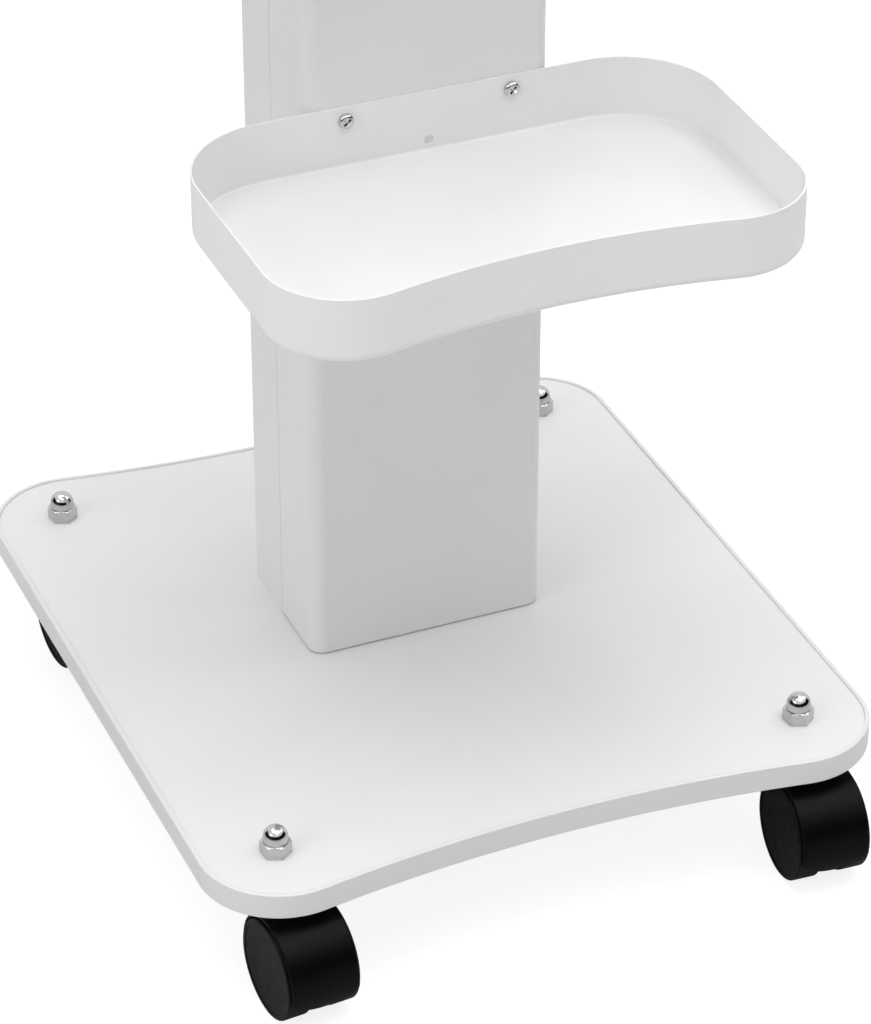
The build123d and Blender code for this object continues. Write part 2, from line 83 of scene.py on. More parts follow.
class Grain(Enum):
    """Kinds of fine surface relief."""

    PEEL = "fine orange peel of a powder coat"
    FACED = "fine pearl grain of a faced board"
    MOULDED = "fine spark texture of a moulded plastic"
    PLATED = "faint polish marks of a plated metal"
    BLASTED = "dull mottle of plain zinc"


class Graph:
    """A shader or geometry node tree that is being filled in."""

    def __init__(self, tree: Tree) -> None:
        """Starts an empty tree.

        Args:
            tree: the node tree to fill.
        """
        self.tree = tree
        tree.nodes.clear()

    def add(self, kind: str, inputs: dict[str | int, Any] | None = None, **settings: Any) -> bpy.types.Node:
        """Adds one node.

        Args:
            kind: the node's type name.
            inputs: values or sockets by input name or number.
            settings: properties to set on it.

        Returns:
            The new node.
        """
        node = self.tree.nodes.new(kind)
        for key, value in settings.items():
            setattr(node, key, value)
        for key, value in (inputs or {}).items():
            if isinstance(value, Socket):
                self.tree.links.new(value, node.inputs[key])
            else:
                node.inputs[key].default_value = value
        return node

    def noise(self, place: Socket, scale: float, detail: float) -> Socket:
        """Adds a noise pattern.

        Args:
            place: the socket that gives the place.
            scale: how many lumps there are to a metre.
            detail: how many finer layers there are.

        Returns:
            The socket that gives its height.
        """
        pattern = self.add("ShaderNodeTexNoise", {"Vector": place, "Scale": scale, "Detail": detail})
        return pattern.outputs["Fac"]


def blank_material(name: str) -> tuple[bpy.types.Material, Graph]:
    """A new material with an empty tree.

    Args:
        name: its name.

    Returns:
        The material and its tree.
    """
    made = bpy.data.materials.new(name)
    made.use_nodes = True
    return made, Graph(made.node_tree)


@dataclass(frozen=True)
class Finish:
    """One surface finish: its colour, gloss and fine relief."""

    name: str
    slot: str
    colour: Colour
    roughness: float
    grain: Grain
    metallic: float = 0.0
    grain_size: float = 1.0 * MM
    grain_depth: float = 0.01 * MM
    shade_spread: float = 0.02
    shade_size: float = 60 * MM
    rough_spread: float = 0.04
    coat: float = 0.0
    specular: float = 0.5

    def relief(self, graph: Graph, place: Socket) -> Socket:
        """Height pattern of the grain.

        Args:
            graph: the material's tree.
            place: the socket that gives the place on the object.

        Returns:
            The socket that gives the height.
        """
        scale = 1.0 / self.grain_size
        if self.grain is Grain.MOULDED:
            spots = {"Vector": place, "Scale": scale}
            cells = graph.add("ShaderNodeTexVoronoi", spots, feature="SMOOTH_F1")
            return cells.outputs["Distance"]
        if self.grain is Grain.PLATED:
            drawn = graph.add("ShaderNodeMapping", {"Vector": place, "Scale": POLISH_STRETCH})
            return graph.noise(drawn.outputs["Vector"], scale, 4.0)
        detail = {Grain.PEEL: 1.5, Grain.FACED: 5.0, Grain.BLASTED: 6.0}[self.grain]
        return graph.noise(place, scale, detail)

    def material(self) -> bpy.types.Material:
        """The finish as a material, made once.

        Returns:
            The material.
        """
        made = bpy.data.materials.get(self.name)
        if made:
            return made
        made, graph = blank_material(self.name)
        place = graph.add("ShaderNodeTexCoord").outputs["Object"]
        cloud = graph.noise(place, 1.0 / self.shade_size, 3.0)
        share = graph.add("ShaderNodeMapRange", {
            "Value": cloud, "From Min": CLOUD_EDGES[0], "From Max": CLOUD_EDGES[1]})
        dark = tuple(channel * (1.0 - self.shade_spread) for channel in self.colour)
        blend = {0: share.outputs["Result"], 6: (*dark, 1.0), 7: (*self.colour, 1.0)}
        colour = graph.add("ShaderNodeMix", blend, data_type="RGBA")
        smear = graph.noise(place, SMEARS_PER_CLOUD / self.shade_size, 5.0)
        rough = graph.add("ShaderNodeMapRange", {
            "Value": smear, "From Min": SMEAR_EDGES[0], "From Max": SMEAR_EDGES[1],
            "To Min": self.roughness - self.rough_spread, "To Max": self.roughness + self.rough_spread})
        bump = graph.add("ShaderNodeBump", {
            "Height": self.relief(graph, place), "Strength": 1.0, "Distance": self.grain_depth})
        shader = graph.add("ShaderNodeBsdfPrincipled", {
            "Base Color": colour.outputs[2], "Roughness": rough.outputs["Result"],
            "Normal": bump.outputs["Normal"], "Metallic": self.metallic, "Coat Weight": self.coat,
            "Coat Roughness": COAT_ROUGHNESS, "Specular IOR Level": self.specular})
        graph.add("ShaderNodeOutputMaterial", {"Surface": shader.outputs["BSDF"]})
        return made


COLUMN_PAINT = Finish(
    "column_powder_coat", "column_paint", (0.79, 0.79, 0.785), 0.46, Grain.PEEL,
    grain_size=1.1 * MM, grain_depth=0.012 * MM, coat=0.35)
TRAY_PAINT = Finish(
    "tray_powder_coat", "tray_paint", (0.855, 0.855, 0.85), 0.38, Grain.PEEL,
    grain_size=1.4 * MM, grain_depth=0.008 * MM, coat=0.5)
PLATFORM_PAINT = Finish(
    "platform_powder_coat", "tray_paint", (0.76, 0.76, 0.755), 0.40, Grain.PEEL,
    grain_size=1.4 * MM, grain_depth=0.008 * MM, coat=0.35)
BOARD_FACE = Finish(
    "white_board_face", "base_board", (0.785, 0.785, 0.785), 0.42, Grain.FACED,
    grain_size=0.9 * MM, grain_depth=0.006 * MM)
EDGING = Finish(
    "edging_plastic", "edge_trim", (0.745, 0.745, 0.745), 0.40, Grain.FACED,
    grain_size=0.7 * MM, grain_depth=0.006 * MM, coat=0.6)
BRIGHT_NUT = Finish(
    "bright_nickel_plate", "plated_nut", (0.56, 0.56, 0.56), 0.10, Grain.PLATED, metallic=1.0,
    grain_size=1.6 * MM, grain_depth=0.004 * MM, shade_spread=0.12, shade_size=4 * MM, rough_spread=0.05)
BRIGHT_SCREW = Finish(
    "bright_zinc_plate", "plated_screw", (0.64, 0.64, 0.65), 0.15, Grain.PLATED, metallic=1.0,
    grain_size=1.2 * MM, grain_depth=0.004 * MM, shade_spread=0.15, shade_size=3 * MM, rough_spread=0.06)
PLAIN_STEEL = Finish(
    "plain_zinc_steel", "steel", (0.52, 0.53, 0.54), 0.36, Grain.BLASTED, metallic=1.0,
    grain_size=1.5 * MM, grain_depth=0.01 * MM, shade_spread=0.22, shade_size=7 * MM, rough_spread=0.09)
HOUSING_PLASTIC = Finish(
    "black_housing_plastic", "caster_housing", (0.0014, 0.0014, 0.0015), 0.36, Grain.MOULDED,
    grain_size=0.5 * MM, grain_depth=0.012 * MM, shade_spread=0.15, shade_size=18 * MM, specular=0.08)
WHEEL_PLASTIC = Finish(
    "black_wheel_plastic", "wheel_plastic", (0.0022, 0.0022, 0.0023), 0.46, Grain.MOULDED,
    grain_size=0.5 * MM, grain_depth=0.015 * MM, shade_spread=0.2, shade_size=14 * MM, specular=0.10)


def arc(centre: Point, radius: float, start: float, end: float, steps: int) -> list[Point]:
    """Points along an arc, both ends included.

    Args:
        centre: the arc's centre.
        radius: its radius.
        start: its first angle in degrees.
        end: its last angle in degrees.
        steps: how many chords it has.

    Returns:
        The points.
    """
    angles = [math.radians(start + (end - start) * i / steps) for i in range(steps + 1)]
    return [(centre[0] + radius * math.cos(a), centre[1] + radius * math.sin(a)) for a in angles]


def joined(*runs: list[Point]) -> list[Point]:
    """Runs of points as one outline, without points that repeat.

    Args:
        runs: the runs in order.

    Returns:
        The outline.
    """
    outline: list[Point] = []
    for point in (point for run in runs for point in run):
        if not outline or math.dist(point, outline[-1]) > 0.001 * MM:
            outline.append(point)
    if math.dist(outline[0], outline[-1]) < 0.001 * MM:
        outline.pop()
    return outline


def linked(name: str, data: bpy.types.ID) -> Thing:
    """A new object in the scene.

    Args:
        name: its name.
        data: its mesh, curve, lamp or camera.

    Returns:
        The object.
    """
    thing = bpy.data.objects.new(name, data)
    bpy.context.scene.collection.objects.link(thing)
    return thing


def new_object(name: str, build: bmesh.types.BMesh, outwards: bool = True) -> Thing:
    """A mesh object made of what is built.

    Args:
        name: the object's name.
        build: the shape, which is used up.
        outwards: whether to turn its faces outwards.

    Returns:
        The object.
    """
    if outwards:
        bmesh.ops.recalc_face_normals(build, faces=build.faces)
    mesh = bpy.data.meshes.new(name)
    build.to_mesh(mesh)
    build.free()
    return linked(name, mesh)


def settle(thing: Thing) -> Thing:
    """Turns the object's modifiers into plain mesh.

    Args:
        thing: the object.

    Returns:
        The same object.
    """
    bpy.context.view_layer.update()
    graph = bpy.context.evaluated_depsgraph_get()
    mesh = bpy.data.meshes.new_from_object(thing.evaluated_get(graph))
    thing.modifiers.clear()
    thing.data = mesh
    return thing


def soften(thing: Thing, width: float, segments: int = 2, angle: float = 50.0) -> Thing:
    """Rounds the object's sharp edges a little.

    Args:
        thing: the object.
        width: the rounding's width.
        segments: its number of strips.
        angle: the smallest turn in degrees that counts as an edge.

    Returns:
        The same object.
    """
    bevel = thing.modifiers.new("soft_edges", "BEVEL")
    bevel.width = width
    bevel.segments = segments
    bevel.limit_method = "ANGLE"
    bevel.angle_limit = math.radians(angle)
    bevel.use_clamp_overlap = True
    return settle(thing)


def shade(thing: Thing, angle: float = 32.0) -> Thing:
    """Shades the object smooth up to an angle, with flat faces kept flat.

    Args:
        thing: the object.
        angle: the smallest turn in degrees that stays sharp.

    Returns:
        The same object.
    """
    thing.data.shade_smooth()
    thing.data.set_sharp_from_angle(angle=math.radians(angle))
    weigh = thing.modifiers.new("flat_faces", "WEIGHTED_NORMAL")
    weigh.keep_sharp = True
    weigh.weight = 100
    return settle(thing)


def skin(name: str, rings: list[list[Vector]]) -> Thing:
    """A closed shell through rings of as many points each, capped at both ends.

    Args:
        name: the object's name.
        rings: the rings in order.

    Returns:
        The object.
    """
    build = bmesh.new()
    rows = [[build.verts.new(point) for point in ring] for ring in rings]
    build.faces.new(rows[0])
    build.faces.new(rows[-1])
    for one, other in zip(rows, rows[1:]):
        for i in range(len(one)):
            j = (i + 1) % len(one)
            build.faces.new((one[i], one[j], other[j], other[i]))
    return new_object(name, build)


def turned(name: str, profile: list[Point], steps: int,
           radius_at: Callable[[float, float], float] | None = None) -> Thing:
    """A shape turned about Z.

    Args:
        name: the object's name.
        profile: radius and height of each point, from one end to the other.
        steps: how many steps the circle has.
        radius_at: if given, the real radius for a profile radius and an angle.

    Returns:
        The object.
    """
    build = bmesh.new()
    rows = []
    for radius, height in profile:
        if radius < 0.001 * MM:
            rows.append([build.verts.new((0.0, 0.0, height))])
            continue
        row = []
        for i in range(steps):
            angle = 2.0 * math.pi * i / steps
            real = radius_at(radius, angle) if radius_at else radius
            row.append(build.verts.new((real * math.cos(angle), real * math.sin(angle), height)))
        rows.append(row)
    for one, other in zip(rows, rows[1:]):
        for i in range(steps):
            j = (i + 1) % steps
            corners = [one[i % len(one)], one[j % len(one)], other[j % len(other)], other[i % len(other)]]
            build.faces.new(list(dict.fromkeys(corners)))
    return new_object(name, build)


def extruded(name: str, outline: list[Point], low: float, high: float) -> Thing:
    """An upright prism.

    Args:
        name: the object's name.
        outline: its plan.
        low: height of its foot.
        high: height of its top.

    Returns:
        The object.
    """
    return skin(name, [[Vector((x, y, z)) for x, y in outline] for z in (low, high)])


def moved(thing: Thing, place: Matrix) -> Thing:
    """Applies a place to the object's mesh.

    Args:
        thing: the object.
        place: the turn and shift.

    Returns:
        The same object.
    """
    thing.data.transform(place)
    thing.data.update()
    return thing


def combined(name: str, things: Iterable[Thing]) -> Thing:
    """Several objects as one mesh.

    Args:
        name: the new object's name.
        things: the objects, which are used up.

    Returns:
        The new object.
    """
    build = bmesh.new()
    for thing in things:
        build.from_mesh(thing.data)
        bpy.data.objects.remove(thing)
    return new_object(name, build, outwards=False)


def carve(thing: Thing, cutter: Thing) -> None:
    """Cuts one object out of another.

    Args:
        thing: the object to cut.
        cutter: the shape to take away, which is used up.
    """
    cut = thing.modifiers.new("cut", "BOOLEAN")
    cut.operation = "DIFFERENCE"
    cut.solver = "EXACT"
    cut.object = cutter
    settle(thing)
    bpy.data.objects.remove(cutter)


def merged_copy(node: str, name: str) -> Thing:
    """A copy of a CAD node with its loose triangles joined.

    Args:
        node: the node.
        name: the copy's name.

    Returns:
        The copy.
    """
    build = bmesh.new()
    build.from_mesh(frame["nodes"][node].data)
    bmesh.ops.remove_doubles(build, verts=build.verts, dist=0.002 * MM)
    return shade(new_object(name, build, outwards=False), angle=28.0)


def dress(thing: Thing, finish: Finish, body: str, *nodes: str) -> None:
    """Gives a piece its finish, its body and the nodes that it stands for.

    Args:
        thing: the piece.
        finish: its finish.
        body: the body that it rides on.
        nodes: the nodes that it replaces.
    """
    thing.data.materials.clear()
    thing.data.materials.append(finish.material())
    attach(thing, body)
    if nodes:
        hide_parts(*nodes)
    LOG.info("%s: %d faces, rides on %s", thing.name, len(thing.data.polygons), body)


@dataclass(frozen=True)
class HollowPlan:
    """A plate's plan with round corners, a front that curves inwards, and a like or straight back."""

    width: float
    depth: float
    corner_r: float
    hollow_r: float
    back_corner_r: float = 0.0
    hollow_steps: int = 40
    corner_steps: int = 18

    def outline(self, inset: float = 0.0) -> list[Point]:
        """The plan, anticlockwise.

        Args:
            inset: how far inside the edge it runs.

        Returns:
            Its points, as many for every inset.
        """
        cx = self.width / 2 - self.corner_r
        reach = self.hollow_r + self.corner_r
        cy = self.depth / 2 + self.hollow_r - math.sqrt(reach ** 2 - cx ** 2)
        tilt = math.degrees(math.asin(cx / reach))
        mid = self.depth / 2 - inset
        radius, hollow = self.corner_r - inset, self.hollow_r + inset
        if self.back_corner_r:
            bx, by = self.width / 2 - self.back_corner_r, self.depth / 2 - self.back_corner_r
            back_r, back_end = self.back_corner_r - inset, 90.0
            back = [(bx, mid), (-bx, mid)]
        else:
            bx, by, back_r, back_end = cx, cy, radius, 90.0 + tilt
            back = arc((0.0, mid + hollow), hollow, 270 + tilt, 270 - tilt, self.hollow_steps)
        return joined(
            arc((0.0, -mid - hollow), hollow, 90 + tilt, 90 - tilt, self.hollow_steps),
            arc((cx, -cy), radius, 270 - tilt, 360, self.corner_steps),
            arc((bx, by), back_r, 0, back_end, self.corner_steps),
            back,
            arc((-bx, by), back_r, 180 - back_end, 180, self.corner_steps),
            arc((-cx, -cy), radius, 180, 270 + tilt, self.corner_steps),
        )


@dataclass(frozen=True)
class PressedTray:
    """A tray pressed from one sheet, with a round bend along its foot."""

    name: str
    nodes: tuple[str, ...]
    plan: HollowPlan
    sheet: float
    bend_r: float
    inner_r: float
    back_is_flat: bool
    finish: Finish = TRAY_PAINT
    lip_r: float = 0.22 * MM
    floor_strip: float = 1.5 * MM
    bend_steps: int = 8

    def section(self, low: float, high: float) -> list[Point]:
        """Inset and height of each point of the wall, from the floor's top over the rim to its underside.

        Args:
            low: height of the tray's foot.
            high: height of its rim.

        Returns:
            The section's points.
        """
        t, r, inner_r, lip = self.sheet, self.bend_r, self.inner_r, self.lip_r
        bend = arc((inner_r, low + t + inner_r), inner_r, 270, 180, self.bend_steps)
        inner = [(t + x, z) for x, z in bend]
        rim = joined(arc((t - lip, high - lip), lip, 0, 90, 3), arc((lip, high - lip), lip, 90, 180, 3))
        outer = arc((r, low + r), r, 180, 270, self.bend_steps)
        middle = r + self.floor_strip
        return joined([(middle, low + t)], inner, rim, outer, [(middle, low)])

    def build(self, holes: Iterable[tuple[float, float, float]] = ()) -> None:
        """Builds the tray in place.

        Args:
            holes: x, z and radius of round holes through its back wall.
        """
        low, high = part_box(self.nodes[0])
        x = (low[0] + high[0]) / 2
        y = high[1] - self.plan.depth / 2 if self.back_is_flat else (low[1] + high[1]) / 2
        rings = [[Vector((x + px, y + py, z)) for px, py in self.plan.outline(inset)]
                 for inset, z in self.section(low[2], high[2])]
        tray = skin(self.name, rings)
        for hole_x, hole_z, radius in holes:
            half = 5 * MM
            bar = turned("hole", [(0.0, -half), (radius, -half), (radius, half), (0.0, half)], 32)
            place = Matrix.Translation((hole_x, high[1], hole_z)) @ Matrix.Rotation(math.pi / 2, 4, "X")
            carve(tray, moved(bar, place))
        dress(shade(tray), self.finish, ROOT, *self.nodes)


TRAY = PressedTray(
    "tray_shell", ("supply_tray_rim", "supply_tray_floor"),
    HollowPlan(width=309.6 * MM, depth=189.4 * MM, corner_r=46 * MM, hollow_r=465 * MM,
               back_corner_r=57 * MM),
    sheet=1.2 * MM, bend_r=5 * MM, inner_r=2 * MM, back_is_flat=True)
PLATFORM = PressedTray(
    "platform_shell", ("top_platform",),
    HollowPlan(width=400 * MM, depth=300 * MM, corner_r=45 * MM, hollow_r=760 * MM),
    sheet=1.5 * MM, bend_r=3.5 * MM, inner_r=2 * MM, back_is_flat=False, finish=PLATFORM_PAINT)


@dataclass(frozen=True)
class Base:
    """The faced board and the plastic edging round it."""

    plan: HollowPlan = HollowPlan(width=415 * MM, depth=431.6 * MM, corner_r=49 * MM, hollow_r=900 * MM,
                                  hollow_steps=64, corner_steps=24)
    wall: float = 2.7 * MM
    lip: float = 1.2 * MM
    edge_r: float = 1.0 * MM
    inner_edge_r: float = 0.3 * MM
    tongue_depth: float = 8 * MM
    tongue_thickness: float = 2.4 * MM

    def section(self, height: float) -> list[Point]:
        """Section of the edging: x outwards from the plan's edge, y up from its foot.

        Args:
            height: the edging's whole height.

        Returns:
            The closed section, anticlockwise.
        """
        r, s, wall = self.edge_r, self.inner_edge_r, self.wall
        board = height - self.lip
        tongue_low, tongue_high = (board - self.tongue_thickness) / 2, (board + self.tongue_thickness) / 2
        tip = -wall - self.tongue_depth
        return joined(
            arc((-r, r), r, 270, 360, 6),
            arc((-r, height - r), r, 0, 90, 8),
            arc((-wall + s, height - s), s, 90, 180, 5),
            [(-wall, tongue_high), (tip, tongue_high), (tip, tongue_low), (-wall, tongue_low)],
            [(-wall, 0.0)],
        )

    def build_edging(self) -> None:
        """Builds the edging, its section carried round the board's edge by geometry nodes."""
        low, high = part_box("base_edge_trim")
        centre = (Vector(low) + Vector(high)) / 2
        mesh = bpy.data.meshes.new("edging")
        points = [(centre.x + x, centre.y + y, low[2]) for x, y in self.plan.outline()]
        mesh.from_pydata(points, [(i, (i + 1) % len(points)) for i in range(len(points))], [])
        edging = linked("edging", mesh)
        section = self.section(high[2] - low[2])
        curve = bpy.data.curves.new("edging_section", "CURVE")
        curve.dimensions = "2D"
        curve.fill_mode = "NONE"
        spline = curve.splines.new("POLY")
        spline.points.add(len(section) - 1)
        for spot, (x, y) in zip(spline.points, section):
            spot.co = (x, -y, 0.0, 1.0)
        spline.use_cyclic_u = True
        profile = linked("edging_section", curve)
        run_tree(edging, path_tree(), {"Section": profile, "Finish": EDGING.material()})
        bpy.data.objects.remove(profile)
        dress(shade(edging), EDGING, ROOT, "base_edge_trim")

    def build(self) -> None:
        """Dresses the board and builds the edging."""
        board = frame["nodes"]["base_board"]
        board.data.materials.clear()
        board.data.materials.append(BOARD_FACE.material())
        self.build_edging()


def new_tree(name: str, sockets: dict[str, str]) -> tuple[Graph, bpy.types.Node]:
    """An empty geometry tree with named inputs.

    Args:
        name: the tree's name.
        sockets: socket type by input name, after the geometry.

    Returns:
        The tree and its input node.
    """
    tree = bpy.data.node_groups.new(name, "GeometryNodeTree")
    tree.interface.new_socket("Geometry", in_out="INPUT", socket_type="NodeSocketGeometry")
    for socket, kind in sockets.items():
        tree.interface.new_socket(socket, in_out="INPUT", socket_type=kind)
    tree.interface.new_socket("Geometry", in_out="OUTPUT", socket_type="NodeSocketGeometry")
    graph = Graph(tree)
    return graph, graph.add("NodeGroupInput")


def end_tree(graph: Graph, geometry: Socket, finish: Socket) -> Tree:
    """Ends a geometry tree with real meshes in one material.

    Args:
        graph: the tree.
        geometry: what it made.
        finish: the material's socket.

    Returns:
        The tree.
    """
    real = graph.add("GeometryNodeRealizeInstances", {"Geometry": geometry})
    painted = graph.add("GeometryNodeSetMaterial", {
        "Geometry": real.outputs["Geometry"], "Material": finish})
    graph.add("NodeGroupOutput", {"Geometry": painted.outputs["Geometry"]})
    return graph.tree


def path_tree() -> Tree:
    """The tree that carries a section round a path.

    Returns:
        The tree.
    """
    graph, entry = new_tree("section_round_path",
                            {"Section": "NodeSocketObject", "Finish": "NodeSocketMaterial"})
    path = graph.add("GeometryNodeMeshToCurve", {"Mesh": entry.outputs["Geometry"]})
    upright = graph.add("GeometryNodeSetCurveNormal", {"Curve": path.outputs["Curve"]}, mode="Z_UP")
    section = graph.add("GeometryNodeObjectInfo", {"Object": entry.outputs["Section"]})
    swept = graph.add("GeometryNodeCurveToMesh", {
        "Curve": upright.outputs["Curve"], "Profile Curve": section.outputs["Geometry"]})
    return end_tree(graph, swept.outputs["Mesh"], entry.outputs["Finish"])


def scatter_tree() -> Tree:
    """The tree that puts a fastener at each point, turned as the point says.

    Returns:
        The tree.
    """
    made = bpy.data.node_groups.get("fasteners_at_points")
    if made:
        return made
    graph, entry = new_tree("fasteners_at_points",
                            {"Fastener": "NodeSocketObject", "Finish": "NodeSocketMaterial"})
    fastener = graph.add("GeometryNodeObjectInfo", {"Object": entry.outputs["Fastener"]})
    turn = graph.add("GeometryNodeInputNamedAttribute", {"Name": "turn"}, data_type="FLOAT_VECTOR")
    rotation = graph.add("FunctionNodeEulerToRotation", {"Euler": turn.outputs["Attribute"]})
    placed = graph.add("GeometryNodeInstanceOnPoints", {
        "Points": entry.outputs["Geometry"], "Instance": fastener.outputs["Geometry"],
        "Rotation": rotation.outputs["Rotation"]})
    return end_tree(graph, placed.outputs["Instances"], entry.outputs["Finish"])


def run_tree(thing: Thing, tree: Tree, values: dict[str, Any]) -> None:
    """Runs a geometry tree on an object and keeps its mesh.

    Args:
        thing: the object.
        tree: the tree.
        values: its inputs by name.
    """
    modifier = thing.modifiers.new(tree.name, "NODES")
    modifier.node_group = tree
    names = {item.name: item.identifier for item in tree.interface.items_tree if item.in_out == "INPUT"}
    for name, value in values.items():
        modifier[names[name]] = value
    settle(thing)


def fasten(name: str, master: Thing, places: list[Matrix], finish: Finish, node: str) -> None:
    """Builds a fastener at each place, as one piece that stands for a node.

    Args:
        name: the piece's name.
        master: the fastener, which is used up.
        places: where and how each one sits.
        finish: its finish.
        node: the node that it replaces.
    """
    mesh = bpy.data.meshes.new(name)
    mesh.from_pydata([place.to_translation() for place in places], [], [])
    turns = mesh.attributes.new("turn", "FLOAT_VECTOR", "POINT")
    for row, place in zip(turns.data, places):
        row.vector = place.to_euler()
    piece = linked(name, mesh)
    run_tree(piece, scatter_tree(), {"Fastener": master, "Finish": finish.material()})
    bpy.data.objects.remove(master)
    dress(shade(piece), finish, ROOT, node)


@dataclass(frozen=True)
class PanHead:
    """A pan-head screw with a cross recess, its seat on z = 0."""

    shank_r: float
    length: float
    head_r: float
    head_h: float
    crown_share: float = 0.62
    reach_share: float = 0.60
    width_share: float = 0.16
    edge: float = 0.12 * MM
    tip: float = 0.5 * MM

    def master(self) -> Thing:
        """The screw's mesh.

        Returns:
            The screw, upright at the origin.
        """
        crown, edge, tip = self.crown_share * self.head_h, self.edge, self.tip
        shank = [(0.0, -self.length), (self.shank_r - tip, -self.length), (self.shank_r, tip - self.length)]
        seat = [(self.shank_r, 0.0), (self.head_r - edge, 0.0), (self.head_r, edge)]
        top = arc((self.head_r - crown, self.head_h - crown), crown, 0, 84, 9)
        head = turned("screw", shank + seat + top + [(0.0, self.head_h)], 48)
        reach, width = self.reach_share * self.head_r, self.width_share * self.head_r
        levels = ((0.45, self.head_h - crown), (1.0, self.head_h + 0.05 * MM), (1.05, self.head_h + MM))
        for turn in (0.0, math.pi / 2):
            rings = []
            for share, z in levels:
                x, y = reach * share, width * (0.55 + 0.45 * share)
                rings.append([Vector((sx * x, sy * y, z)) for sx, sy in SIGNS])
            carve(head, moved(skin("recess", rings), Matrix.Rotation(turn, 4, "Z")))
        return head


@dataclass(frozen=True)
class CapNut:
    """A domed nut: a hexagon with eased corners and a dome, on z = 0 and turned by some degrees."""

    flats: float = 16 * MM
    hex_h: float = 8.2 * MM
    dome_r: float = 7.3 * MM
    height: float = 18 * MM
    bore_r: float = 5.05 * MM
    bore_h: float = 13.7 * MM
    chamfer: float = 0.7 * MM
    corner_ease: float = 0.6 * MM
    foot_inset: float = 1.2 * MM
    foot_ease: float = 0.35 * MM
    neck_step: float = 0.25 * MM
    turn: float = 7.0

    def hexagon(self, radius: float, angle: float) -> float:
        """Radius of the hexagon at an angle, no more than the profile's.

        Args:
            radius: the profile's radius.
            angle: the angle in radians.

        Returns:
            The radius.
        """
        off = math.radians((math.degrees(angle) + 30.0) % 60.0 - 30.0)
        return min(radius, self.flats / 2 / math.cos(off))

    def master(self) -> Thing:
        """The nut's mesh.

        Returns:
            The nut, upright at the origin.
        """
        corner = self.flats / math.sqrt(3)
        top, dome_r, step = self.hex_h, self.dome_r, self.neck_step
        bore = [(0.0, self.bore_h), (self.bore_r, self.bore_h), (self.bore_r, 0.0)]
        foot = [(corner - self.foot_inset, 0.0), (corner, self.foot_ease)]
        ease = [(corner - self.chamfer * share ** 2 - self.corner_ease * share,
                 top - self.chamfer * (1 - share)) for share in (0.0, 0.2, 0.4, 0.6, 0.8, 1.0)]
        blend = [(dome_r + step, top), (dome_r + 0.07 * MM, top + 0.08 * MM), (dome_r, top + step)]
        dome = arc((0.0, self.height - dome_r), dome_r, 0, 90, 16)
        dome[-1] = (0.0, self.height)
        return turned("cap_nut", bore + foot + ease + blend + dome, 96, self.hexagon)


@dataclass(frozen=True)
class Column:
    """The two folded sheets of the column: a rear channel and a front cover with laps."""

    sheet: float = 1.5 * MM
    front_r: float = 9.5 * MM
    rear_r: float = 2.0 * MM
    seam_gap: float = 0.5 * MM
    lap_in_cover: float = 4 * MM
    edge_soft: float = 0.22 * MM
    corner_steps: int = 14

    def folded(self, half: float, end: float, back: float,
               radius: float) -> tuple[list[Point], list[Point]]:
        """Outer and inner side of a sheet folded to a channel.

        Args:
            half: half its width.
            end: y of its open ends.
            back: y of its closed side.
            radius: outer radius of its folds.

        Returns:
            The outer side from its right end to its left, and the inner side from left to right.
        """
        t, way = self.sheet, 1.0 if back > end else -1.0
        outer_y, inner_r = back - way * radius, radius - self.sheet
        right, left = (half - radius, outer_y), (radius - half, outer_y)
        turn = 90.0 * way
        outer = joined([(half, end)], arc(right, radius, 0, turn, self.corner_steps),
                       arc(left, radius, turn, 2 * turn, self.corner_steps), [(-half, end)])
        inner = joined([(t - half, end)], arc(left, inner_r, 2 * turn, turn, self.corner_steps),
                       arc(right, inner_r, turn, 0, self.corner_steps), [(half - t, end)])
        return outer, inner

    def build_channel(self) -> None:
        """Builds the rear channel."""
        low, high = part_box("column_rear_channel")
        outer, inner = self.folded(high[0], low[1], high[1], self.rear_r)
        channel = extruded("rear_channel", outer + inner, low[2], high[2])
        dress(shade(soften(channel, self.edge_soft)), COLUMN_PAINT, ROOT, "column_rear_channel")

    def build_cover(self) -> None:
        """Builds the front cover with its laps inside the channel."""
        low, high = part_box("column_front_cover")
        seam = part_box("column_rear_channel")[0][1] - self.seam_gap
        half, t = high[0], self.sheet
        outer, inner = self.folded(half, seam, low[1], self.front_r)
        lap_low, lap_high = seam - self.lap_in_cover, high[1]
        near, far = t - half, 2 * t - half
        left_lap = [(near, lap_high), (far, lap_high), (far, lap_low), (near, lap_low)]
        right_lap = [(-x, y) for x, y in reversed(left_lap)]
        outline = outer + [(near, seam)] + left_lap + inner[1:-1] + right_lap + [(-near, seam)]
        cover = extruded("front_cover", outline, low[2], high[2])
        dress(shade(soften(cover, self.edge_soft)), COLUMN_PAINT, ROOT, "column_front_cover")

    def build(self) -> None:
        """Builds both sheets."""
        self.build_channel()
        self.build_cover()


